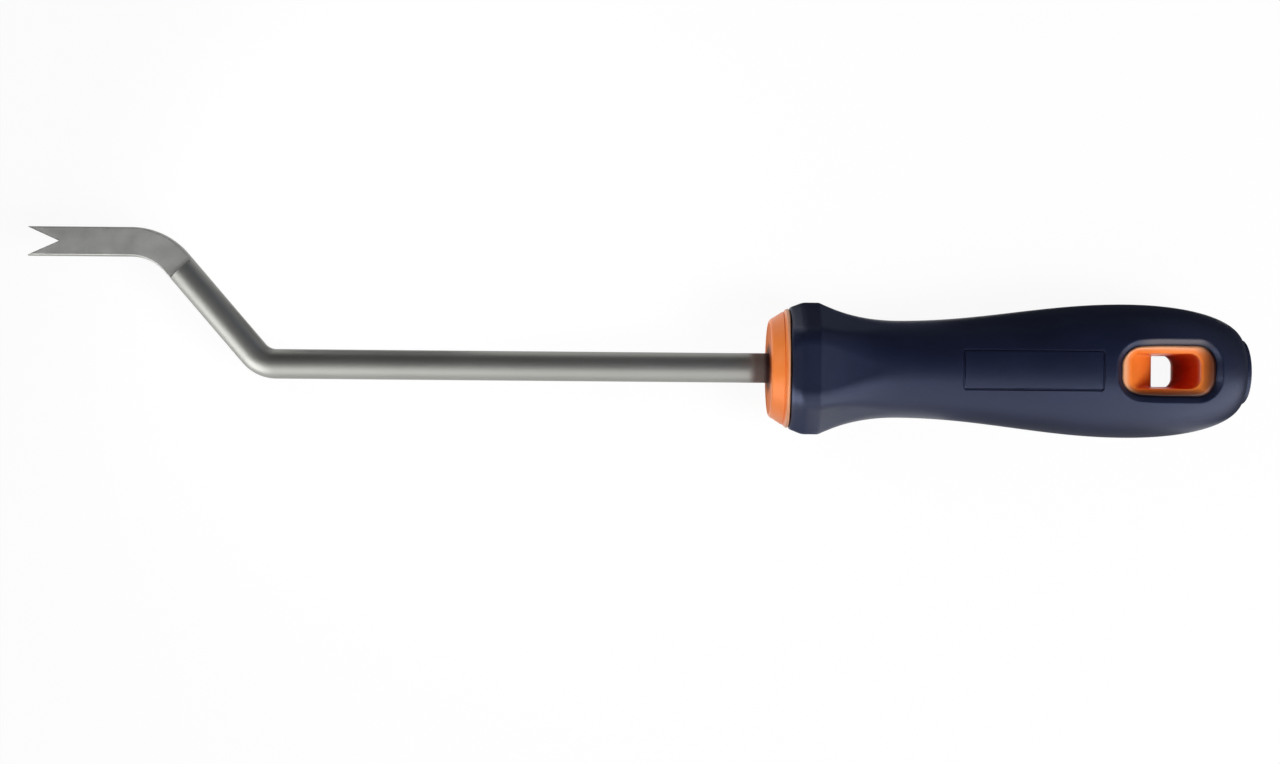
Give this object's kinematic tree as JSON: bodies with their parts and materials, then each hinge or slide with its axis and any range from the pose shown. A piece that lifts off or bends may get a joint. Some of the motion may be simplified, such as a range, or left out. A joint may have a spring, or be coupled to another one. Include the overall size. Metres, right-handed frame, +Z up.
{
  "type": "grab handle removal tool",
  "caption": "Hand lever with a cranked round steel bar, a flat blade that ends in a V-notched fork, and a two-material handle with a hanging hole.",
  "frame": {"origin": "middle of the collar's lower flat, on the surface that the tool lies on", "axes": "+X along the bar's axis towards the butt of the handle, +Y the way the crank steps aside, +Z up from the surface, square to the plane of the crank"},
  "size_m": [0.3288, 0.0546, 0.0324],
  "materials": {
    "steel": "satin",
    "hard_core": "satin",
    "soft_grip": "matte"
  },
  "bodies": {
    "root": {"forked_shaft": "steel", "handle_core": "hard_core", "soft_grip": "soft_grip"}
  },
  "joints": []
}
